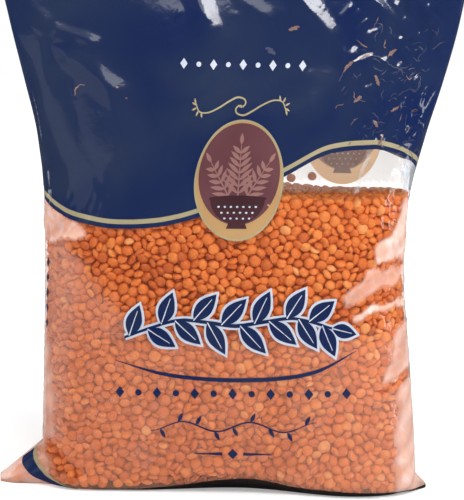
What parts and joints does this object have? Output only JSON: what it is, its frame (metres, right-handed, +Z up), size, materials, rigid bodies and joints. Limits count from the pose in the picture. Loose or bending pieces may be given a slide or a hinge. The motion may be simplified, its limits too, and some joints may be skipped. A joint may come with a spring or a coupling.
{
  "type": "bag of lentils",
  "caption": "Upright clear film bag of split red lentils with a dark blue printed top, a flat crimped seal above and pointed film ears at the base.",
  "frame": {"origin": "on the table under the middle of the bag, at the centre of its bounding box and at its lowest level", "axes": "+Z up to the top seal, -Y out of the printed front, +X to the right when facing the front"},
  "size_m": [0.185, 0.068, 0.211],
  "materials": {
    "film_over_lentils": "clear glossy film close over orange lentils",
    "clear_film": "clear glossy film",
    "blue_print": "dark blue ink under glossy film",
    "gold_print": "flat gold ink under glossy film",
    "tan_print": "tan ink under glossy film",
    "plum_print": "plum brown ink under glossy film",
    "pale_print": "pale ink under glossy film",
    "lentils": "dry split red lentils, dull with a faint sheen"
  },
  "bodies": {
    "root": {"lentil_bag": "film_over_lentils"}
  },
  "joints": []
}
